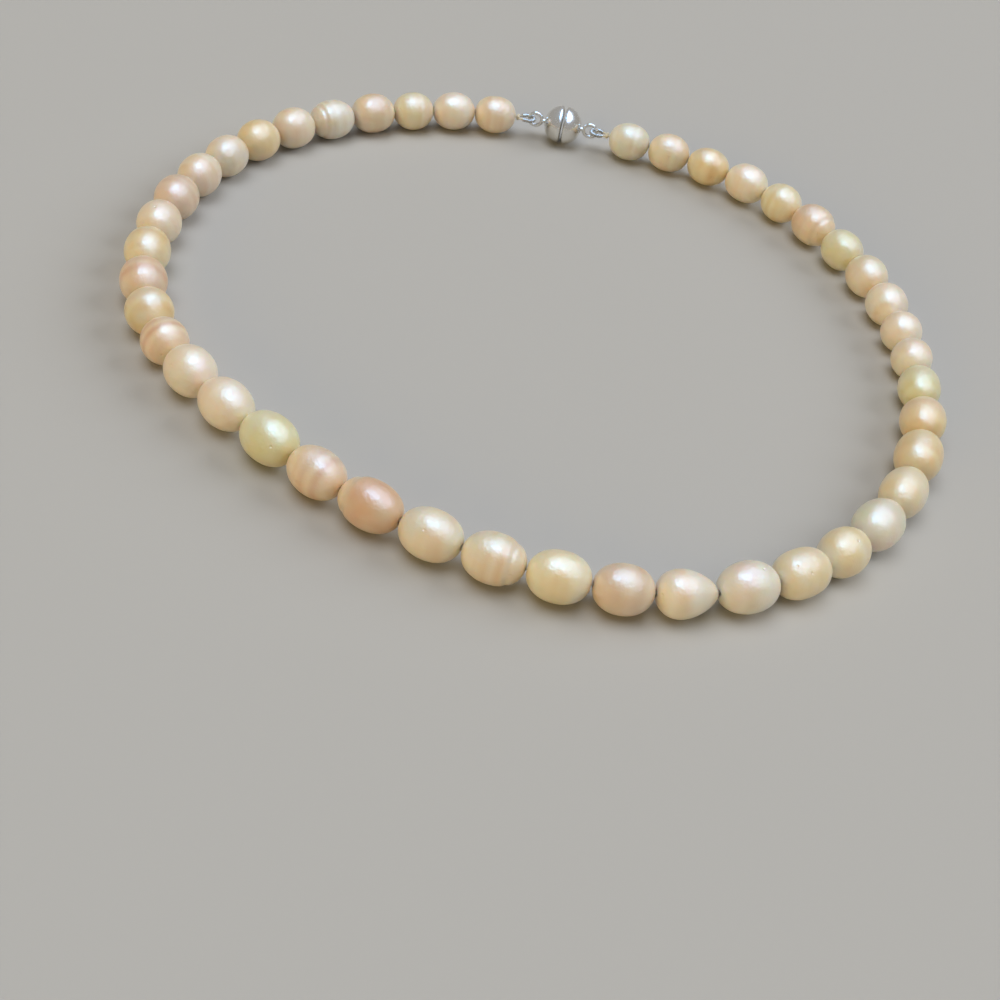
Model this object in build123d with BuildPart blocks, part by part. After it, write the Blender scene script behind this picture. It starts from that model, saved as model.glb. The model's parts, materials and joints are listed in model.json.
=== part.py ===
from build123d import *
import math
import os

# Pearl necklace laid flat in a loop, front towards -Y, clasp at the back.
# Millimetres and degrees. Z = 0 is the surface that the pearls lie on.

# ---- pearls
bore_diameter = 1.0
end_flat_radius = 0.56  # each drilled end is flat out to here
pearl_gap = 0.18  # daylight between neighbours, so that the strand can bend
outline_steps = 16  # spans of each pearl's outline
ring_depth = 0.03  # how deep a growth ring is, as a share of the pearl's radius
ring_width = 0.10  # how wide, as a share of half the pearl's length

# Each shape: fullness of the outline (2 is an ellipse), how far the widest place is
# moved along the strand, taper of one end, and where a growth ring lies, if any.
shapes = {
    "oval": (2.12, 0.0, 0.0, None),
    "round": (2.03, 0.0, 0.0, None),
    "egg": (2.05, 0.10, 0.10, None),
    "egg_turned": (2.05, -0.10, -0.10, None),
    "drop": (1.92, -0.04, 0.19, None),
    "barrel": (2.35, 0.0, 0.0, None),
    "ringed": (2.12, 0.0, 0.0, 0.56),
    "ringed_turned": (2.12, 0.0, 0.0, -0.60),
}

# Girth, length and shape of every pearl, from the clasp's left half, round the front,
# to its right half. No two pearls of the strand are quite alike.
pearls = [
    (7.3, 8.2, "oval"),
    (7.4, 8.5, "egg"),
    (7.3, 8.1, "round"),
    (7.5, 8.6, "oval"),
    (7.4, 8.9, "ringed"),
    (7.6, 8.3, "oval"),
    (7.5, 8.5, "egg_turned"),
    (7.4, 8.2, "oval"),
    (7.5, 8.7, "round"),
    (7.6, 8.4, "oval"),
    (7.5, 8.3, "egg"),
    (7.6, 8.6, "oval"),
    (7.7, 8.3, "oval"),
    (7.7, 7.7, "round"),
    (7.5, 7.5, "round"),
    (7.7, 8.5, "oval"),
    (7.6, 9.4, "egg"),
    (7.6, 9.4, "oval"),
    (7.3, 9.2, "oval"),
    (7.4, 9.8, "ringed_turned"),
    (7.4, 9.3, "oval"),
    (7.4, 9.1, "ringed"),
    (7.5, 9.0, "oval"),
    (7.3, 8.6, "oval"),
    (7.1, 8.9, "drop"),
    (7.6, 9.3, "egg_turned"),
    (7.3, 8.8, "barrel"),
    (7.3, 8.7, "egg"),
    (7.5, 9.5, "ringed"),
    (7.3, 9.7, "oval"),
    (7.7, 9.9, "oval"),
    (7.5, 9.2, "round"),
    (7.1, 8.7, "egg_turned"),
    (7.1, 7.4, "round"),
    (7.3, 7.4, "round"),
    (7.4, 8.3, "oval"),
    (7.5, 8.6, "egg"),
    (7.4, 8.4, "oval"),
    (7.6, 8.8, "ringed_turned"),
    (7.4, 8.2, "round"),
    (7.5, 8.6, "oval"),
    (7.3, 8.5, "egg_turned"),
    (7.4, 8.3, "oval"),
    (7.3, 8.1, "oval"),
]

# ---- thread
thread_diameter = 0.5
loop_thread_diameter = 0.4
knot_diameter = 1.2
bend_share = 0.3  # share of the shorter run that each bend of the thread takes up

# ---- clasp and its French wire
clasp_diameter = 7.6
seam_gap = 0.4  # between the two halves
seam_edge_radius = 0.5
magnet_diameter = 4.8
magnet_thickness = 2.0
magnet_chamfer = 0.15
fit_clearance = 0.02
post_diameter = 0.8
eye_radius = 1.3  # centre line of the eye's ring
eye_wire_diameter = 0.7
eye_reach = 5.65  # from the seam to the eye's centre
gimp_diameter = 0.8
gimp_bore = 0.5
gimp_start = 0.9  # from the knot's centre to the ends of the gimp
gimp_turn_radius = 1.2  # centre line of the loop where it goes through the eye
gimp_slack = 0.3  # how far the end of the loop's centre line stops short of the eye's centre
loop_reach = 4.2  # from the end pearl to the eye's centre

# ---- line that the strand lies along, from the clasp round the left side to the front
box_centre = (-0.67, -2.6)  # of the strand laid along these points, brought to the origin
lay_points = [
    (2, 60.5),
    (-31, 55),
    (-56.5, 33.5),
    (-66, 5),
    (-62, -21),
    (-41, -44.3),
    (-17, -59.4),
    (0, -64.6),
    (26, -64.1),
    (48.3, -50.1),
    (61, -29.6),
    (65, -4),
    (58, 27.5),
    (36, 51.5),
]

up = Vector(0, 0, 1)
through_length = 20  # of a cutting cylinder, longer than any pearl or the clasp
os.makedirs("parts", exist_ok=True)


def outline_radius(place, shape):
    """Radius of a pearl at a place along its axis, from -1 to 1, before scaling."""
    fullness, lean, taper, ring_place = shapes[shape]
    moved = place + lean * (place * place - 1)
    radius = (1 - abs(moved) ** fullness) ** (1 / fullness) * (1 - taper * place)
    if ring_place is not None:
        radius -= ring_depth * math.exp(-(((place - ring_place) / ring_width) ** 2))
    return radius


def pearl_outline(length, girth, shape):
    """Points of half a pearl's outline, between the small flats round its drilled ends."""
    first = math.asin(2 * end_flat_radius / girth)
    step_angle = (math.pi - 2 * first) / outline_steps
    places = [-math.cos(first + step_angle * step) for step in range(outline_steps + 1)]
    radii = [outline_radius(place, shape) for place in places]
    points = []
    for place, radius in zip(places, radii):
        along = place / math.cos(first) * length / 2
        points.append((along, radius * girth / 2 / max(radii)))
    return points


def lay_position(line, distance, height):
    """Point above the lay line, so far along it from the clasp's seam."""
    point = line.position_at(distance, position_mode=PositionMode.LENGTH)
    return Vector(point.X - box_centre[0], point.Y - box_centre[1], height)


def bend_radius(before, corner, after):
    """Radius of the arc that takes up bend_share of the shorter run at a corner."""
    run_in = corner - before
    run_out = after - corner
    half_turn = math.radians(run_in.get_angle(run_out)) / 2
    return bend_share * min(run_in.length, run_out.length) / math.tan(half_turn)


# ---- pivots: the point in each gap where the strand bends, and the centre of each eye
with BuildLine() as lay_line:
    lay = Spline(*lay_points, periodic=True)
ends_length = 2 * (eye_reach + loop_reach)
nominal_length = sum(length + pearl_gap for _, length, _ in pearls)
stretch = (lay.length - ends_length) / nominal_length
pivots = [lay_position(lay, eye_reach, clasp_diameter / 2)]
distance = eye_reach + loop_reach
for number, (girth, length, _) in enumerate(pearls):
    distance += (length + pearl_gap) * stretch
    if number + 1 < len(pearls):
        height = (girth + pearls[number + 1][0]) / 4
        pivots.append(lay_position(lay, distance, height))
pivots.append(lay_position(lay, lay.length - eye_reach, clasp_diameter / 2))
print("loop length", round(lay.length, 2), "pearls stretched by", round(stretch, 4))

# ---- pearls
pearl_ends = []
for number, (girth, length, shape) in enumerate(pearls, start=1):
    near = pivots[number - 1]
    far = pivots[number]
    along = (far - near).normalized()
    fitted_length = (far - near).length - pearl_gap
    middle = (near + far) * 0.5
    if number in (1, len(pearls)):
        fitted_length -= loop_reach - pearl_gap / 2
    if number == 1:
        middle = far - along * ((pearl_gap + fitted_length) / 2)
    if number == len(pearls):
        middle = near + along * ((pearl_gap + fitted_length) / 2)
    pearl_ends.append((middle - along * (fitted_length / 2), middle + along * (fitted_length / 2)))
    level = Vector(along.X, along.Y, 0).normalized()
    centre = Vector(middle.X, middle.Y, girth / 2)
    section = Plane(origin=centre, x_dir=level, z_dir=level.cross(up))
    bore = Plane(origin=middle, z_dir=along)
    outline = pearl_outline(fitted_length, girth, shape)
    with BuildPart() as pearl:
        with BuildSketch(section):
            with BuildLine():
                Spline(*outline)
                Polyline(outline[-1], (outline[-1][0], 0), (outline[0][0], 0), outline[0])
            make_face()
        revolve(axis=Axis(centre, level))
        with Locations(bore):
            Cylinder(bore_diameter / 2, through_length, mode=Mode.SUBTRACT)
    pearl.part.label = f"pearl_{number:02d}"
    export_step(pearl.part, f"parts/pearl_{number:02d}.step")

# ---- end loops: a tear-shaped path from the knot, through the eye, back to the knot
sides = {
    "left": (pivots[0], pivots[1], pearl_ends[0][0]),
    "right": (pivots[-1], pivots[-2], pearl_ends[-1][1]),
}
loop_planes = {}
knots = {}
for side, (eye, inner_pivot, pearl_end) in sides.items():
    outward = (eye - inner_pivot).normalized()
    across = up.cross(outward).normalized()
    knots[side] = pearl_end + outward * (knot_diameter / 2)
    loop_planes[side] = Plane(origin=knots[side], x_dir=outward, z_dir=outward.cross(across))
knot_to_eye = loop_reach - knot_diameter / 2
turn_centre = knot_to_eye - gimp_slack - gimp_turn_radius
leg_start = gimp_diameter / 2 + fit_clearance
leg_angle = math.atan2(-leg_start, turn_centre) + math.asin(
    gimp_turn_radius / math.hypot(turn_centre, leg_start)
)
leg_end = (
    turn_centre - gimp_turn_radius * math.sin(leg_angle),
    gimp_turn_radius * math.cos(leg_angle),
)
gimp_start_side = leg_start + gimp_start * math.tan(leg_angle)


def loop_path(start, start_side):
    """Leg, turn and leg of an end loop, in the plane of the loop."""
    Line((start, start_side), leg_end)
    ThreePointArc(leg_end, (turn_centre + gimp_turn_radius, 0), (leg_end[0], -leg_end[1]))
    Line((leg_end[0], -leg_end[1]), (start, -start_side))


# ---- thread: straight through each pearl, a gentle bend in each gap, a knot and a loop
route = [knots["left"]] + pivots[1:-1] + [knots["right"]]
bend_radii = []
for corner in range(1, len(route) - 1):
    bend_radii.append(bend_radius(route[corner - 1], route[corner], route[corner + 1]))
print("thread bends", round(min(bend_radii), 1), "to", round(max(bend_radii), 1))
with BuildPart() as thread:
    with BuildLine():
        main_run = FilletPolyline(*route, radius=bend_radii)
    with BuildSketch(Plane(origin=route[0], z_dir=route[1] - route[0])):
        Circle(thread_diameter / 2)
    sweep(path=main_run)
    main_volume = thread.part.volume
    for side, plane in loop_planes.items():
        with BuildLine(plane) as loop_line:
            loop_path(0, leg_start)
        loop_wire = loop_line.wire()
        with BuildSketch(Plane(origin=loop_wire @ 0, z_dir=loop_wire % 0)):
            Circle(loop_thread_diameter / 2)
        sweep(path=loop_wire)
        with Locations(plane):
            Sphere(knot_diameter / 2)
thread_section = math.pi * thread_diameter**2 / 4
print("thread length", round(main_run.length, 2))
print("volume over section times length", round(main_volume / thread_section / main_run.length, 4))
thread.part.label = "thread"
export_step(thread.part, "parts/thread.step")

# ---- French wire over each end loop
for side, plane in loop_planes.items():
    with BuildPart() as gimp:
        with BuildLine(plane) as gimp_line:
            loop_path(gimp_start, gimp_start_side)
        gimp_wire = gimp_line.wire()
        with BuildSketch(Plane(origin=gimp_wire @ 0, z_dir=gimp_wire % 0)):
            Circle(gimp_diameter / 2)
            Circle(gimp_bore / 2, mode=Mode.SUBTRACT)
        sweep(path=gimp_wire)
    gimp.part.label = f"gimp_{side}"
    export_step(gimp.part, f"parts/gimp_{side}.step")

# ---- clasp: two half balls with a magnet in each, drawn pointing along the local X axis
clasp_centre = (pivots[0] + pivots[-1]) * 0.5
ball_radius = clasp_diameter / 2
face = seam_gap / 2
rim = math.sqrt(ball_radius**2 - face**2)
shoulder = ball_radius / math.sqrt(2)  # of the point halfway from the top of the ball to its end
for side in sides:
    outward = (sides[side][0] - clasp_centre).normalized()
    section = Plane(origin=clasp_centre, x_dir=outward, z_dir=outward.cross(up))
    spin_axis = Axis(clasp_centre, outward)
    with BuildPart() as cup:
        with BuildSketch(section) as cup_section:
            with BuildLine():
                Line((face, 0), (face, rim))
                ThreePointArc((face, rim), (shoulder, shoulder), (ball_radius, 0))
                Line((ball_radius, 0), (face, 0))
            make_face()
            fillet(cup_section.vertices().sort_by(Axis.Y)[-1], seam_edge_radius)
        revolve(axis=spin_axis)
        with Locations(Plane(origin=clasp_centre, z_dir=outward)):
            Cylinder(
                magnet_diameter / 2 + fit_clearance,
                2 * (face + magnet_thickness),
                mode=Mode.SUBTRACT,
            )
            Cylinder(post_diameter / 2 + fit_clearance, through_length, mode=Mode.SUBTRACT)
    cup.part.label = f"clasp_cup_{side}"
    export_step(cup.part, f"parts/clasp_cup_{side}.step")

    with BuildPart() as magnet:
        with BuildSketch(Plane(origin=clasp_centre + outward * face, z_dir=outward)):
            Circle(magnet_diameter / 2)
        extrude(amount=magnet_thickness)
        chamfer(magnet.edges().filter_by(GeomType.CIRCLE), magnet_chamfer)
    magnet.part.label = f"clasp_magnet_{side}"
    export_step(magnet.part, f"parts/clasp_magnet_{side}.step")

    eye_plane = Plane(origin=section.from_local_coords((eye_reach, 0)), z_dir=outward.cross(up))
    post_start = face + magnet_thickness + fit_clearance
    with BuildPart() as eye:
        with Locations(eye_plane):
            Torus(eye_radius, eye_wire_diameter / 2)
        with BuildSketch(Plane(origin=clasp_centre + outward * post_start, z_dir=outward)):
            Circle(post_diameter / 2)
        extrude(amount=eye_reach - eye_radius - post_start)
    eye.part.label = f"clasp_eye_{side}"
    export_step(eye.part, f"parts/clasp_eye_{side}.step")
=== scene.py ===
import json
import math
import random

import bpy
from mathutils import Matrix, Vector


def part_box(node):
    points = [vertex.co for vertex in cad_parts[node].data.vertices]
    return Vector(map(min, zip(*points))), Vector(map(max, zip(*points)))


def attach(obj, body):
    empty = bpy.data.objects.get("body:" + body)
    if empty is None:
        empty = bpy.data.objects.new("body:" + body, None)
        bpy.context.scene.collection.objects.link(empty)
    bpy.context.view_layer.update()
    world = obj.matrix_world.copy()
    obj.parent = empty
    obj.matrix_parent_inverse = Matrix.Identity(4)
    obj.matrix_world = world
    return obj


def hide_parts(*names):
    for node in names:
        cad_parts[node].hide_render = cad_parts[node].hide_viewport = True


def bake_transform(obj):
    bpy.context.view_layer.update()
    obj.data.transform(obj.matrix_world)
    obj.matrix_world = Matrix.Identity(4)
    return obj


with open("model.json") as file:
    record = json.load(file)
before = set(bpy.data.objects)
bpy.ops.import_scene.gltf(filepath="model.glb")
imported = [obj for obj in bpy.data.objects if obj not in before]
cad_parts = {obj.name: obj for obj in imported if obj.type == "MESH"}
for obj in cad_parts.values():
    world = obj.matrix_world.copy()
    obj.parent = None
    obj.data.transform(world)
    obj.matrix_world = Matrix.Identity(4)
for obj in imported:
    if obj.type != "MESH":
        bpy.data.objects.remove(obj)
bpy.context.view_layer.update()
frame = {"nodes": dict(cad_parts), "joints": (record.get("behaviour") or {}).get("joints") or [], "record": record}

MM = 0.001
UP = Vector((0, 0, 1))


def srgb(red, green, blue):
    """A colour given on the 0 to 255 scale, as linear light."""
    linear = []
    for value in (red, green, blue):
        share = value / 255
        linear.append(share / 12.92 if share <= 0.04045 else ((share + 0.055) / 1.055) ** 2.4)
    return (*linear, 1.0)


# ---------------------------------------------------------------- view
# Angles in degrees, distances in metres, lens and sensor in millimetres.
VIEW_AZIMUTH = 4.73
VIEW_ELEVATION = 43.43
VIEW_ROLL = 11.77
VIEW_DISTANCE = 189 * MM
VIEW_TARGET = (-3.57 * MM, -49.39 * MM, 3.75 * MM)
LENS = 47.86
SENSOR_WIDTH = 36
NEAR_CLIP = 0.01
FAR_CLIP = 20

# ---------------------------------------------------------------- floor and light
FLOOR_HALF_WIDTH = 3.0
FLOOR_COLOUR = srgb(187, 184, 180)
FLOOR_ROUGHNESS = 0.75
FLOOR_SPECULAR = 0.2

# Wide suns: place, spread in degrees, power, colour.
SOFT_KEYS = {
    "overhead": ((-0.08, 0.0, 0.52), 48, 1.38, (0.96, 0.985, 1.0)),
    "right_fill": ((0.45, 0.15, 0.30), 40, 1.75, (0.88, 0.94, 1.0)),
    "low_fill": ((-0.40, -0.45, 0.12), 40, 1.35, (1.0, 0.74, 0.24)),
}
# Oval panels: place, size, power, colour.
REFLECTORS = {
    "overhead_gloss": ((-0.08, 0.0, 0.52), (0.30, 0.25), 1.2, (0.20, 0.56, 1.0)),
    "overhead_halo": ((0.12, 0.05, 0.54), (1.0, 0.7), 4.6, (0.46, 0.64, 1.0)),
}
WORLD_COLOUR = (1.0, 0.985, 0.965, 1.0)
WORLD_STRENGTH = 0.12
WORLD_EXTRA_REFLECTED = 0.25
WORLD_EXTRA_SEEN = 0.45

# ---------------------------------------------------------------- pearls
PEARL_COUNT = 44
FRONT_PEARL = 23
PEARL_GAP = 0.18 * MM
END_FLAT_RADIUS = 0.56 * MM
BORE_RADIUS = 0.5 * MM
RINGS_ALONG = 52
SEGMENTS_ROUND = 64
BORE_RINGS = 3

# Fullness of the outline (2 is an ellipse), shift of the widest place, taper.
OUTLINES = {
    "oval": (2.12, 0.0, 0.0),
    "round": (2.03, 0.0, 0.0),
    "egg": (2.05, 0.10, 0.10),
    "egg_turned": (2.05, -0.10, -0.10),
    "drop": (1.92, -0.04, 0.19),
    "barrel": (2.35, 0.0, 0.0),
}
# The outline of each pearl that isn't a plain oval.
SHAPES = {
    2: "egg", 3: "round", 7: "egg_turned", 9: "round", 11: "egg", 14: "round", 15: "round",
    17: "egg", 25: "drop", 26: "egg_turned", 27: "barrel", 28: "egg", 32: "round",
    33: "egg_turned", 34: "round", 35: "round", 37: "egg", 40: "round", 42: "egg_turned",
}
# Where a growth ring lies along the pearl, from -1 to 1. The width of its groove is in the same
# units, and its depth is a share of half the girth.
GROWTH_RINGS = {5: 0.56, 20: -0.60, 22: 0.56, 29: 0.56, 39: -0.60}
RING_WIDTH = 0.08
RING_DEPTH = 0.04

# The largest lump of each order round the pearl, as a share of half the girth, and how far lumps
# twist from the middle to an end.
LUMP_SIZES = (0.020, 0.016, 0.006)
LUMP_TWIST = 1.5
# Dents: the most on a pearl, how far from its middle they go, their sizes, and their depths as
# shares of their sizes.
MOST_DENTS = 4
DENT_REACH = 0.75
DENT_SIZES = (0.12, 0.26)
DENT_DEPTHS = (0.02, 0.06)

# ---------------------------------------------------------------- nacre
# Each nacre: body colour, second colour that drifts over it, and the colour of its bands.
NACRES = {
    "nacre_cream": (srgb(238, 224, 206), srgb(241, 231, 214), srgb(227, 196, 156)),
    "nacre_ivory": (srgb(240, 228, 200), srgb(242, 235, 210), srgb(230, 206, 148)),
    "nacre_gold": (srgb(236, 214, 166), srgb(241, 228, 194), srgb(224, 188, 124)),
    "nacre_peach": (srgb(235, 209, 180), srgb(240, 225, 202), srgb(213, 165, 127)),
    "nacre_rose": (srgb(243, 231, 218), srgb(245, 238, 227), srgb(235, 212, 182)),
    "nacre_mauve": (srgb(234, 213, 196), srgb(240, 226, 208), srgb(214, 180, 150)),
    "nacre_green": (srgb(228, 226, 192), srgb(233, 235, 208), srgb(224, 212, 150)),
    "nacre_silver": (srgb(234, 232, 222), srgb(240, 240, 235), srgb(222, 210, 188)),
}
# The faint play of colour over any of them, and how strongly a patch of it shows.
ORIENTS = (srgb(236, 214, 208), srgb(216, 224, 206), srgb(220, 220, 227))
ORIENT_SHARE = 0.35
SILVER_ORIENT_SHARE = 0.7
# Pearls that hold some of their band colour all over, and the most that a band holds.
DEEPER = {10: 0.3, 13: 0.2, 20: 0.7, 24: 0.3}
BAND_SHARE = 0.7
BAND_RATES = (1.2, 2.2)
# The grey of a growth ring, partly its own tone and partly painted shade in its groove, and the paler nacre of the
# cap beyond it.
RING_GREY_AND_GROOVE_SHADE = srgb(196, 182, 168)
CAP_TONE = srgb(238, 222, 198)
RING_GREY_AND_GROOVE_SHADE_SHARE = 0.4
CAP_TONE_SHARE = 0.75

NACRE_SHADER = {
    "IOR": 1.7,
    "Specular IOR Level": 0.7,
    "Metallic": 0.10,
    "Subsurface Weight": 0.55,
    "Subsurface Radius": (1.0, 0.6, 0.32),
    "Subsurface Scale": 0.0014,
    "Coat Weight": 0.9,
    "Coat Tint": (1.0, 0.945, 0.83, 1.0),
    "Coat Roughness": 0.32,
    "Coat IOR": 1.7,
    "Sheen Weight": 0.08,
    "Sheen Roughness": 0.35,
    "Sheen Tint": (1.0, 0.93, 0.86, 1.0),
}

# ---------------------------------------------------------------- thread, knots and French wire
LOOP_REACH = 4.2 * MM  # from an end pearl to the eye of the clasp
THREAD_RADIUS = 0.25 * MM
THREAD_LAY = 1.6 * MM  # the length in which its plies go once round
LOOP_THREAD_RADIUS = 0.2 * MM
LOOP_THREAD_LAY = 1.4 * MM
PLIES = 3
PLY_DEPTH = 0.20
THREAD_SEGMENTS = 12
THREAD_STEPS = 24
TAIL_SPACING = 0.2 * MM
KNOT_DIAMETER = 1.2 * MM
KNOT_PATH_SIZE = 1.0 * MM
KNOT_SEGMENTS = 10
KNOT_STEPS = 60
LEG_STEPS = 8
TURN_STEPS = 28
GIMP_RADIUS = 0.4 * MM
GIMP_WIRE_RADIUS = 0.07 * MM
GIMP_WIRE_SEGMENTS = 6
GIMP_PITCH = 2.1 * GIMP_WIRE_RADIUS
GIMP_STEPS_PER_COIL = 14
GIMP_START = 0.75 * KNOT_DIAMETER
GIMP_TURN_RADIUS = 1.2 * MM  # of the bend that goes through the clasp's eye
GIMP_SLACK = 0.3 * MM
FIT_CLEARANCE = 0.02 * MM

SILK_COLOURS = (srgb(214, 200, 168), srgb(240, 232, 212))

# Each metal: clean colour, tarnish, and its roughness from least to most.
METALS = {
    "silver_plate": (srgb(236, 233, 226), srgb(206, 196, 178), (0.16, 0.28)),
    "nickel_plate": (srgb(196, 194, 190), srgb(160, 156, 150), (0.18, 0.32)),
    "silver_wire": (srgb(228, 225, 218), srgb(196, 188, 172), (0.20, 0.34)),
}


# ---------------------------------------------------------------- camera, floor, lights
def make_camera():
    """The camera, at the angle from which the photo was taken."""
    azimuth = math.radians(VIEW_AZIMUTH)
    elevation = math.radians(VIEW_ELEVATION)
    look = Vector((
        math.sin(azimuth) * math.cos(elevation),
        math.cos(azimuth) * math.cos(elevation),
        -math.sin(elevation),
    ))
    data = bpy.data.cameras.new("camera")
    data.lens = LENS
    data.sensor_width = SENSOR_WIDTH
    data.clip_start = NEAR_CLIP
    data.clip_end = FAR_CLIP
    camera = bpy.data.objects.new("camera", data)
    bpy.context.scene.collection.objects.link(camera)
    place = Matrix.Translation(Vector(VIEW_TARGET) - look * VIEW_DISTANCE)
    turn = look.to_track_quat("-Z", "Y").to_matrix().to_4x4()
    roll = Matrix.Rotation(math.radians(VIEW_ROLL), 4, "Z")
    camera.matrix_world = place @ turn @ roll
    bpy.context.scene.camera = camera


def place_light(name, kind, place, power, colour):
    """A light aimed at the origin."""
    data = bpy.data.lights.new(name, kind)
    data.energy = power
    data.color = colour
    light = bpy.data.objects.new(name, data)
    bpy.context.scene.collection.objects.link(light)
    light.location = place
    light.rotation_euler = (-Vector(place)).to_track_quat("-Z", "Y").to_euler()
    return light


def make_soft_key(name, place, spread, power, colour):
    """Wide soft light that falls evenly everywhere and stays out of reflections."""
    light = place_light(name, "SUN", place, power, colour)
    light.data.angle = math.radians(spread)
    light.visible_glossy = False


def make_reflector(name, place, size, power, colour):
    """An oval panel that shows only in reflections."""
    light = place_light(name, "AREA", place, power, colour)
    light.data.shape = "ELLIPSE"
    light.data.size, light.data.size_y = size
    light.visible_diffuse = False


def make_lights():
    """Cool light from above and the right, a warm low one, and cool panels that reflect."""
    for name, settings in SOFT_KEYS.items():
        make_soft_key(name, *settings)
    for name, settings in REFLECTORS.items():
        make_reflector(name, *settings)
    bpy.context.scene.view_settings.view_transform = "Standard"


def make_world():
    """Dim even surroundings, brighter where they are reflected or seen."""
    world = bpy.data.worlds.new("studio")
    world.use_nodes = True
    tree = world.node_tree
    background = tree.nodes["Background"]
    background.inputs["Color"].default_value = WORLD_COLOUR
    rays = tree.nodes.new("ShaderNodeLightPath")
    glossy = math_node(tree, "MULTIPLY", rays.outputs["Is Glossy Ray"], WORLD_EXTRA_REFLECTED)
    seen = math_node(tree, "MULTIPLY", rays.outputs["Is Camera Ray"], WORLD_EXTRA_SEEN)
    extra = math_node(tree, "ADD", glossy, seen)
    strength = math_node(tree, "ADD", extra, WORLD_STRENGTH)
    tree.links.new(strength, background.inputs["Strength"])
    bpy.context.scene.world = world


def make_floor():
    """A plain pale floor that isn't part of the object."""
    half = FLOOR_HALF_WIDTH
    mesh = bpy.data.meshes.new("floor")
    corners = [(-half, -half, 0), (half, -half, 0), (half, half, 0), (-half, half, 0)]
    mesh.from_pydata(corners, [], [(0, 1, 2, 3)])
    floor = bpy.data.objects.new("floor", mesh)
    bpy.context.scene.collection.objects.link(floor)
    material, _, shader = new_material("floor_pale")
    shader.inputs["Base Color"].default_value = FLOOR_COLOUR
    shader.inputs["Roughness"].default_value = FLOOR_ROUGHNESS
    shader.inputs["Specular IOR Level"].default_value = FLOOR_SPECULAR
    mesh.materials.append(material)


# ---------------------------------------------------------------- node helpers
def new_material(name):
    """A material with its node tree and its shader."""
    material = bpy.data.materials.new(name)
    material.use_nodes = True
    tree = material.node_tree
    return material, tree, tree.nodes["Principled BSDF"]


def add_node(tree, kind, **settings):
    """A node whose settings are inputs, where it has one of that name, or else properties."""
    node = tree.nodes.new(kind)
    for key, value in settings.items():
        if key in node.inputs.keys():
            node.inputs[key].default_value = value
        else:
            setattr(node, key, value)
    return node


def noise_node(tree, coordinates, scale, detail, roughness, offset=(0, 0, 0)):
    """Noise from 0 to 1 at coordinates moved by an offset."""
    mapping = add_node(tree, "ShaderNodeMapping")
    mapping.inputs["Location"].default_value = offset
    tree.links.new(coordinates, mapping.inputs["Vector"])
    noise = add_node(tree, "ShaderNodeTexNoise", Scale=scale, Detail=detail, Roughness=roughness)
    tree.links.new(mapping.outputs["Vector"], noise.inputs["Vector"])
    return noise.outputs["Fac"]


def remap(tree, value, source, target):
    """A value with its source range stretched to the target range, and cut off at its ends."""
    node = add_node(tree, "ShaderNodeMapRange")
    node.inputs["From Min"].default_value, node.inputs["From Max"].default_value = source
    node.inputs["To Min"].default_value, node.inputs["To Max"].default_value = target
    tree.links.new(value, node.inputs["Value"])
    return node.outputs["Result"]


def mix_colour(tree, factor, first, second):
    """Two colours mixed; each is a fixed colour or another node's output."""
    node = add_node(tree, "ShaderNodeMix", data_type="RGBA")
    tree.links.new(factor, node.inputs[0])
    for socket, value in ((node.inputs[6], first), (node.inputs[7], second)):
        if isinstance(value, tuple):
            socket.default_value = value
        else:
            tree.links.new(value, socket)
    return node.outputs[2]


def math_node(tree, operation, first, second=None):
    """A calculation on node outputs; the second value may be a number, or left out."""
    node = add_node(tree, "ShaderNodeMath", operation=operation)
    tree.links.new(first, node.inputs[0])
    if isinstance(second, (int, float)):
        node.inputs[1].default_value = second
    elif second is not None:
        tree.links.new(second, node.inputs[1])
    return node.outputs[0]


def add_bump(tree, height, strength, distance, sockets):
    """Surface relief from a height, given to each of the shader's normal sockets."""
    bump = add_node(tree, "ShaderNodeBump", Strength=strength, Distance=distance)
    tree.links.new(height, bump.inputs["Height"])
    for socket in sockets:
        tree.links.new(bump.outputs["Normal"], socket)


def random_shift(draw, low, high):
    return (draw.uniform(low, high), draw.uniform(low, high), draw.uniform(low, high))


# ---------------------------------------------------------------- materials
def add_bands(tree, draw, along, colour, band, least):
    """Bands of a second colour across the pearl's length."""
    place = math_node(tree, "MULTIPLY", along, draw.uniform(*BAND_RATES))
    place = math_node(tree, "ADD", place, draw.uniform(0, 9))
    bands = add_node(tree, "ShaderNodeTexNoise", noise_dimensions="1D", Scale=1.0, Detail=1.0)
    tree.links.new(place, bands.inputs["W"])
    share = remap(tree, bands.outputs["Fac"], (0.40, 0.75), (least, BAND_SHARE))
    return mix_colour(tree, share, colour, band)


def add_orients(tree, draw, position, colour, strength):
    """Patches of two of the faint rose, green and blue orients."""
    for orient in draw.sample(ORIENTS, 2):
        shift = random_shift(draw, 5, 9)
        patches = noise_node(tree, position, scale=190, detail=1.0, roughness=0.4, offset=shift)
        share = remap(tree, patches, (0.5, 0.72), (0.0, strength))
        colour = mix_colour(tree, share, colour, orient)
    return colour


def add_growth_ring(tree, along, colour, ring):
    """A narrow grey band in the growth ring's groove, partly the ring's own tone and partly painted shade of the
    groove, and a paler cap beyond it.
    """
    away = math_node(tree, "ABSOLUTE", math_node(tree, "SUBTRACT", along, ring))
    # Painted shade in the groove, mixed with the ring's own grey tone, strongest at the ring.
    groove_grey_and_shade = remap(tree, away, (0.02, 0.16), (RING_GREY_AND_GROOVE_SHADE_SHARE, 0.0))
    colour = mix_colour(tree, groove_grey_and_shade, colour, RING_GREY_AND_GROOVE_SHADE)
    outward = math_node(tree, "MULTIPLY", along, math.copysign(1, ring))
    cap = remap(tree, outward, (abs(ring) - 0.25, abs(ring) + 0.12), (0.0, CAP_TONE_SHARE))
    return mix_colour(tree, cap, colour, CAP_TONE)


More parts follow.
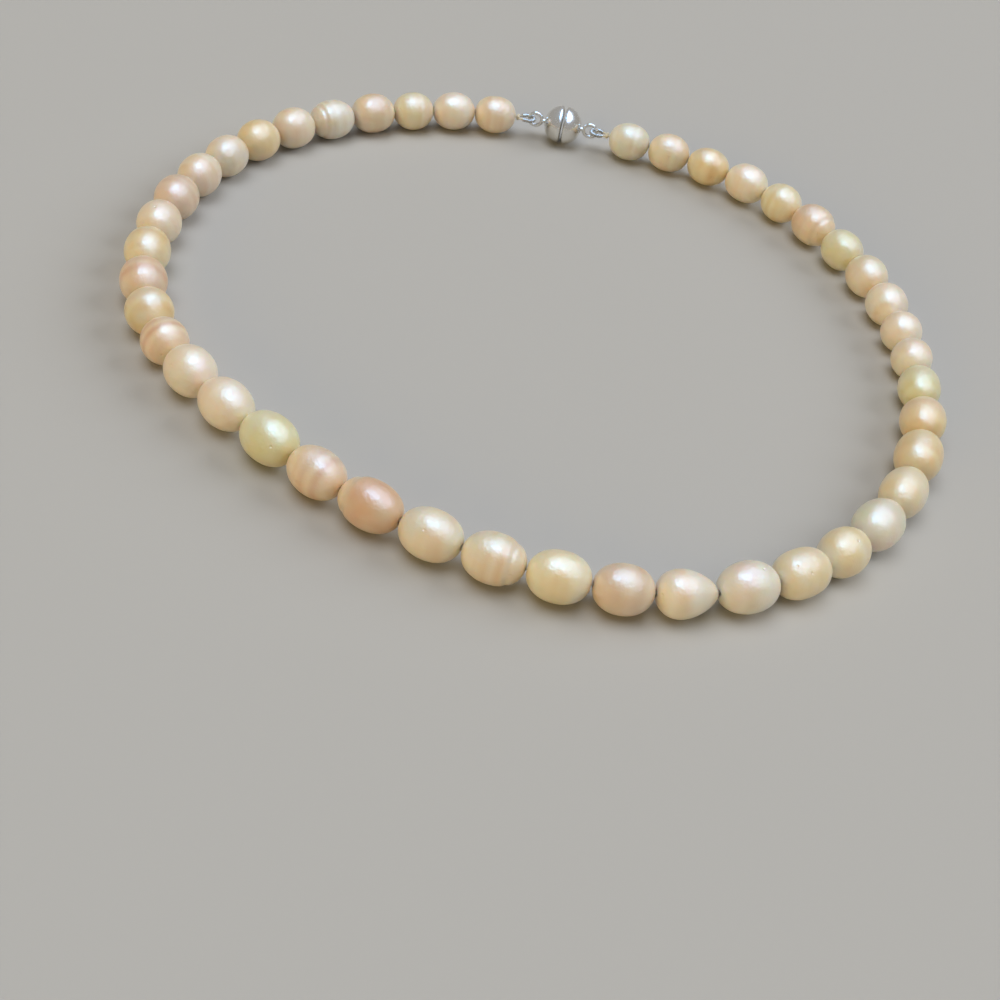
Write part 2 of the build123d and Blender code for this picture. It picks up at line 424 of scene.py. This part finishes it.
def nacre_material(number, slot):
    """Satin nacre of one pearl: drifting tints, bands, orient and fine surface marks."""
    draw = random.Random(number * 7 + 1)  # another seed than the pearl's shape has
    body, drift, band = NACRES[slot]
    material, tree, shader = new_material(f"nacre_{number:02d}")
    position = add_node(tree, "ShaderNodeTexCoord").outputs["Object"]
    along = add_node(tree, "ShaderNodeAttribute", attribute_name="along").outputs["Fac"]
    offset = random_shift(draw, 0, 5)
    clouds = noise_node(tree, position, scale=150, detail=2.0, roughness=0.4, offset=offset)
    colour = mix_colour(tree, remap(tree, clouds, (0.35, 0.65), (0.0, 0.85)), body, drift)
    colour = add_bands(tree, draw, along, colour, band, DEEPER.get(number, 0.0))
    strength = SILVER_ORIENT_SHARE if slot == "nacre_silver" else ORIENT_SHARE
    colour = add_orients(tree, draw, position, colour, strength)
    if number in GROWTH_RINGS:
        colour = add_growth_ring(tree, along, colour, GROWTH_RINGS[number])
    tree.links.new(colour, shader.inputs["Base Color"])
    fine = noise_node(tree, position, scale=900, detail=3.0, roughness=0.5, offset=offset)
    rough = remap(tree, fine, (0.3, 0.7), (0.40, 0.50))
    tree.links.new(rough, shader.inputs["Roughness"])
    waves = noise_node(tree, position, scale=420, detail=2.0, roughness=0.5, offset=offset)
    grain = noise_node(tree, position, scale=2600, detail=2.0, roughness=0.6, offset=offset)
    pits = add_node(tree, "ShaderNodeTexVoronoi", Scale=330.0)
    tree.links.new(position, pits.inputs["Vector"])
    hollow = remap(tree, pits.outputs["Distance"], (0.0, 0.08), (-0.7, 0.0))
    height = math_node(tree, "ADD", waves, math_node(tree, "MULTIPLY", grain, 0.25))
    height = math_node(tree, "ADD", height, hollow)
    skins = (shader.inputs["Normal"], shader.inputs["Coat Normal"])
    add_bump(tree, height, strength=0.9, distance=0.2 * MM, sockets=skins)
    for name, value in NACRE_SHADER.items():
        shader.inputs[name].default_value = value
    return material


def silk_material():
    """Off-white silk with fine fibres."""
    material, tree, shader = new_material("silk")
    position = add_node(tree, "ShaderNodeTexCoord").outputs["Object"]
    fibre = noise_node(tree, position, scale=5000, detail=4.0, roughness=0.6)
    colour = mix_colour(tree, fibre, *SILK_COLOURS)
    tree.links.new(colour, shader.inputs["Base Color"])
    add_bump(tree, fibre, strength=0.3, distance=0.03 * MM, sockets=[shader.inputs["Normal"]])
    shader.inputs["Roughness"].default_value = 0.6
    shader.inputs["Sheen Weight"].default_value = 0.5
    return material


def metal_material(name):
    """Plated metal with smudges of tarnish and fine scratches."""
    colour, tarnish, roughness = METALS[name]
    material, tree, shader = new_material(name)
    position = add_node(tree, "ShaderNodeTexCoord").outputs["Object"]
    smudge = noise_node(tree, position, scale=260, detail=4.0, roughness=0.6)
    shade = mix_colour(tree, remap(tree, smudge, (0.5, 0.8), (0.0, 0.6)), colour, tarnish)
    tree.links.new(shade, shader.inputs["Base Color"])
    scratches = noise_node(tree, position, scale=1800, detail=2.0, roughness=0.7)
    tree.links.new(remap(tree, scratches, (0.3, 0.7), roughness), shader.inputs["Roughness"])
    add_bump(tree, scratches, strength=0.05, distance=0.02 * MM, sockets=[shader.inputs["Normal"]])
    shader.inputs["Metallic"].default_value = 1.0
    return material


# ---------------------------------------------------------------- meshes
def link_mesh(name, vertices, faces):
    """A smooth-shaded object with the given mesh, in the scene."""
    mesh = bpy.data.meshes.new(name)
    mesh.from_pydata([tuple(vertex) for vertex in vertices], [], faces)
    mesh.validate()
    mesh.polygons.foreach_set("use_smooth", [True] * len(mesh.polygons))
    thing = bpy.data.objects.new(name, mesh)
    bpy.context.scene.collection.objects.link(thing)
    return thing


def ring_faces(rings, segments, closed):
    """Quads between successive rings of vertices, and back to the first ring if closed."""
    faces = []
    last = rings if closed else rings - 1
    for ring in range(last):
        following = (ring + 1) % rings
        for step in range(segments):
            after = (step + 1) % segments
            faces.append((
                ring * segments + step,
                ring * segments + after,
                following * segments + after,
                following * segments + step,
            ))
    return faces


def round_point(centre, side, top, turn, reach):
    """The point at a turn and a reach from a centre, in the plane of side and top."""
    return centre + side * (reach * math.cos(turn)) + top * (reach * math.sin(turn))


def path_frames(points):
    """A side and a top vector at each point of a path, turned as little as possible."""
    frames = []
    side = None
    for index in range(len(points)):
        before = points[max(index - 1, 0)]
        after = points[min(index + 1, len(points) - 1)]
        tangent = (after - before).normalized()
        if side is None:
            side = UP.cross(tangent).normalized()
        side = (side - tangent * side.dot(tangent)).normalized()
        frames.append((side, tangent.cross(side)))
    return frames


def tube_mesh(name, points, radius, segments, lay=None):
    """A capped tube along points; a lay gives it the section of twisted plies."""
    vertices = []
    travelled = 0.0
    for index, (point, (side, top)) in enumerate(zip(points, path_frames(points))):
        if index:
            travelled += (point - points[index - 1]).length
        for step in range(segments):
            turn = math.tau * step / segments
            reach = radius
            if lay:
                twist = math.tau * travelled / lay
                ply = abs(math.cos(PLIES * (turn - twist) / 2))
                reach *= 1 - PLY_DEPTH + PLY_DEPTH * ply
            vertices.append(round_point(point, side, top, turn, reach))
    faces = ring_faces(len(points), segments, False)
    faces.append(tuple(reversed(range(segments))))
    start = (len(points) - 1) * segments
    faces.append(tuple(range(start, start + segments)))
    return link_mesh(name, vertices, faces)


# ---------------------------------------------------------------- pearls
def strand_pivots():
    """The point in each gap where the strand bends, and the clasp's two eyes at its ends."""
    ends = {"clasp_swivel_left": 0, "clasp_swivel_right": PEARL_COUNT}
    points = {}
    for joint in frame["joints"]:
        name = joint["name"]
        gap = ends[name] if name in ends else int(name[-2:])
        points[gap] = Vector(joint["pos_m"])
    return [points[gap] for gap in range(PEARL_COUNT + 1)]


def body_of(number):
    """The name of the body that a pearl rides on."""
    return "front" if number == FRONT_PEARL else f"strand_{number:02d}"


def pearl_frame(number, pivots):
    """Middle, direction and length of a pearl between its two pivots."""
    near = pivots[number - 1]
    far = pivots[number]
    along = (far - near).normalized()
    length = (far - near).length - PEARL_GAP
    middle = (near + far) / 2
    if number in (1, PEARL_COUNT):
        length -= LOOP_REACH - PEARL_GAP / 2
    if number == 1:
        middle = far - along * ((PEARL_GAP + length) / 2)
    if number == PEARL_COUNT:
        middle = near + along * ((PEARL_GAP + length) / 2)
    return middle, along, length


def outline_radius(place, number):
    """Half girth at a place from -1 to 1 along the pearl, before it is scaled."""
    fullness, lean, taper = OUTLINES[SHAPES.get(number, "oval")]
    moved = place + lean * (place * place - 1)
    radius = (1 - abs(moved) ** fullness) ** (1 / fullness) * (1 - taper * place)
    if number in GROWTH_RINGS:
        away = (place - GROWTH_RINGS[number]) / RING_WIDTH
        radius -= RING_DEPTH * math.exp(-away * away)
    return radius


def draw_unevenness(number):
    """A pearl's lumps (order, size, phase, twist) and dents (place, turn, size, depth)."""
    draw = random.Random(number)
    lumps = []
    for order, largest in enumerate(LUMP_SIZES, start=1):
        size = draw.uniform(0.2, 1.0) * largest
        phase = draw.uniform(0, math.tau)
        lumps.append((order, size, phase, draw.uniform(-LUMP_TWIST, LUMP_TWIST)))
    dents = []
    for _ in range(draw.randint(1, MOST_DENTS)):
        size = draw.uniform(*DENT_SIZES)
        spot = draw.uniform(-DENT_REACH, DENT_REACH)
        facing = draw.uniform(0, math.tau)
        dents.append((spot, facing, size, size * draw.uniform(*DENT_DEPTHS)))
    return lumps, dents


def unevenness(place, turn, lumps, dents):
    """How far the surface lies inside the even outline there."""
    shrink = 0.0
    for order, size, phase, twist in lumps:
        shrink += size * (0.5 + 0.5 * math.cos(order * turn + phase + twist * place))
    for spot, facing, size, depth in dents:
        off = math.hypot(place - spot, (1 - math.cos(turn - facing)) ** 0.5) / size
        shrink += depth * math.exp(-off * off)
    return shrink


def make_pearl(number, pivots, slot):
    """One drilled pearl, slightly lumpy, as a closed mesh with its bore."""
    name = f"pearl_{number:02d}"
    lumps, dents = draw_unevenness(number)
    low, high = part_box(name)
    girth = high.z - low.z
    middle, along, length = pearl_frame(number, pivots)
    side = UP.cross(along).normalized()
    top = along.cross(side)
    rest = Vector((middle.x, middle.y, low.z + girth / 2))
    first = math.asin(2 * END_FLAT_RADIUS / girth)
    sweep = math.pi - 2 * first
    angles = [first + sweep * ring / RINGS_ALONG for ring in range(RINGS_ALONG + 1)]
    radii = [outline_radius(-math.cos(angle), number) for angle in angles]
    widest = max(radii)
    turns = [math.tau * step / SEGMENTS_ROUND for step in range(SEGMENTS_ROUND)]
    vertices = []
    places = []
    for angle, radius in zip(angles, radii):
        place = -math.cos(angle) / math.cos(first)
        free = 1 - place * place
        centre = middle + along * (place * length / 2) + (rest - middle) * free
        for turn in turns:
            shrink = unevenness(place, turn, lumps, dents) * free
            reach = radius / widest * girth / 2 * (1 - shrink)
            vertices.append(round_point(centre, side, top, turn, reach))
            places.append(place)
    for ring in range(BORE_RINGS):
        place = 1 - 2 * ring / (BORE_RINGS - 1)
        centre = middle + along * (place * length / 2)
        for turn in turns:
            vertices.append(round_point(centre, side, top, turn, BORE_RADIUS))
            places.append(place)
    rings = RINGS_ALONG + 1 + BORE_RINGS
    faces = ring_faces(rings, SEGMENTS_ROUND, True)
    pearl = link_mesh(f"freshwater_pearl_{number:02d}", vertices, faces)
    attribute = pearl.data.attributes.new("along", "FLOAT", "POINT")
    attribute.data.foreach_set("value", places)
    pearl.data.materials.append(nacre_material(number, slot))
    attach(pearl, body_of(number))
    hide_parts(name)


# ---------------------------------------------------------------- thread, loops and clasp
def make_thread(pivots, silk):
    """Twisted silk from the middle of each pearl to the next, bending in the gap."""
    for number in range(1, PEARL_COUNT):
        start = pearl_frame(number, pivots)[0]
        end = pearl_frame(number + 1, pivots)[0]
        pivot = pivots[number]
        points = []
        for step in range(THREAD_STEPS + 1):
            share = step / THREAD_STEPS
            corner = start.lerp(pivot, share)
            points.append(corner.lerp(pivot.lerp(end, share), share))
        name = f"thread_{number:02d}"
        piece = tube_mesh(name, points, THREAD_RADIUS, THREAD_SEGMENTS, THREAD_LAY)
        piece.data.materials.append(silk)
        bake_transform(piece)
        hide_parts("thread")


def loop_points(knot, outward, across, start):
    """Tear-shaped path of an end loop, from beside the knot, through the eye and back."""
    turn_centre = LOOP_REACH - KNOT_DIAMETER / 2 - GIMP_SLACK - GIMP_TURN_RADIUS
    leg_side = GIMP_RADIUS + FIT_CLEARANCE
    slope = math.atan2(-leg_side, turn_centre)
    slope += math.asin(GIMP_TURN_RADIUS / math.hypot(turn_centre, leg_side))
    leg_x = turn_centre - GIMP_TURN_RADIUS * math.sin(slope)
    leg_y = GIMP_TURN_RADIUS * math.cos(slope)
    start_y = leg_side + start * math.tan(slope)
    flat = [(start, start_y)]
    for step in range(1, LEG_STEPS + 1):
        share = step / LEG_STEPS
        flat.append((start + (leg_x - start) * share, start_y + (leg_y - start_y) * share))
    sweep = math.pi + 2 * slope
    for step in range(1, TURN_STEPS + 1):
        angle = sweep / 2 - sweep * step / TURN_STEPS
        flat.append((
            turn_centre + GIMP_TURN_RADIUS * math.cos(angle),
            GIMP_TURN_RADIUS * math.sin(angle),
        ))
    for step in range(1, LEG_STEPS + 1):
        share = step / LEG_STEPS
        flat.append((leg_x + (start - leg_x) * share, -leg_y + (leg_y - start_y) * share))
    return [knot + outward * x + across * y for x, y in flat]


def resampled(points, spacing):
    """Points at even steps along a path."""
    lengths = [0.0]
    for before, after in zip(points, points[1:]):
        lengths.append(lengths[-1] + (after - before).length)
    count = max(int(lengths[-1] / spacing), 2)
    even = []
    segment = 0
    for step in range(count + 1):
        goal = lengths[-1] * step / count
        while segment < len(points) - 2 and lengths[segment + 1] < goal:
            segment += 1
        share = (goal - lengths[segment]) / (lengths[segment + 1] - lengths[segment])
        even.append(points[segment].lerp(points[segment + 1], share))
    return even


def coil_points(points, radius, pitch, per_turn):
    """A close helix wound round a path."""
    spaced = resampled(points, pitch / per_turn)
    wound = []
    for index, (point, (side, top)) in enumerate(zip(spaced, path_frames(spaced))):
        wound.append(round_point(point, side, top, math.tau * index / per_turn, radius))
    return wound


def knot_points(centre, outward, across):
    """A small overhand knot, as a closed trefoil about six units wide before it is scaled."""
    upright = outward.cross(across)
    unit = KNOT_PATH_SIZE / 6
    points = []
    for step in range(KNOT_STEPS + 1):
        turn = math.tau * step / KNOT_STEPS
        x = -math.sin(3 * turn)
        y = math.sin(turn) + 2 * math.sin(2 * turn)
        z = math.cos(turn) - 2 * math.cos(2 * turn)
        points.append(centre + (outward * x + across * y + upright * z) * unit)
    return points


def make_loop(side, pivots, silk, wire):
    """Knot, end loop of the thread and its French wire, at one end of the strand."""
    if side == "left":
        number = 1
        eye, inner = pivots[0], pivots[1]
    else:
        number = PEARL_COUNT
        eye, inner = pivots[-1], pivots[-2]
    middle, _, length = pearl_frame(number, pivots)
    outward = (eye - inner).normalized()
    across = UP.cross(outward).normalized()
    pearl_end = middle + outward * (length / 2)
    knot = pearl_end + outward * (KNOT_DIAMETER / 2)
    knot_path = knot_points(knot, outward, across)
    loop_path = loop_points(knot, outward, across, 0.0)
    tail_path = resampled([middle, knot], TAIL_SPACING)
    pieces = [
        tube_mesh(f"end_knot_{side}", knot_path, LOOP_THREAD_RADIUS, KNOT_SEGMENTS),
        tube_mesh(
            f"end_loop_{side}", loop_path, LOOP_THREAD_RADIUS, THREAD_SEGMENTS, LOOP_THREAD_LAY
        ),
        tube_mesh(f"end_tail_{side}", tail_path, THREAD_RADIUS, THREAD_SEGMENTS, THREAD_LAY),
    ]
    for piece in pieces:
        piece.data.materials.append(silk)
        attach(piece, body_of(number))
        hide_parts("thread")
    gimp_path = loop_points(knot, outward, across, GIMP_START)
    coil_radius = GIMP_RADIUS - GIMP_WIRE_RADIUS
    winding = coil_points(gimp_path, coil_radius, GIMP_PITCH, GIMP_STEPS_PER_COIL)
    gimp = tube_mesh(f"french_wire_{side}", winding, GIMP_WIRE_RADIUS, GIMP_WIRE_SEGMENTS)
    gimp.data.materials.append(wire)
    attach(gimp, body_of(number))
    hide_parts(f"gimp_{side}")


def dress_clasp(silver, nickel):
    """The clasp keeps its CAD shapes and gets worn plating."""
    for side in ("left", "right"):
        for name, material in (("cup", silver), ("eye", silver), ("magnet", nickel)):
            for holder in frame["nodes"][f"clasp_{name}_{side}"].material_slots:
                holder.material = material


# ---------------------------------------------------------------- scene
make_camera()
make_floor()
make_lights()
make_world()
slots = {part["node"]: part["material_slot"] for part in frame["record"]["subparts"]}
strand = strand_pivots()
for pearl_number in range(1, PEARL_COUNT + 1):
    make_pearl(pearl_number, strand, slots[f"pearl_{pearl_number:02d}"])
silk = silk_material()
wire = metal_material("silver_wire")
make_thread(strand, silk)
for strand_side in ("left", "right"):
    make_loop(strand_side, strand, silk, wire)
dress_clasp(metal_material("silver_plate"), metal_material("nickel_plate"))
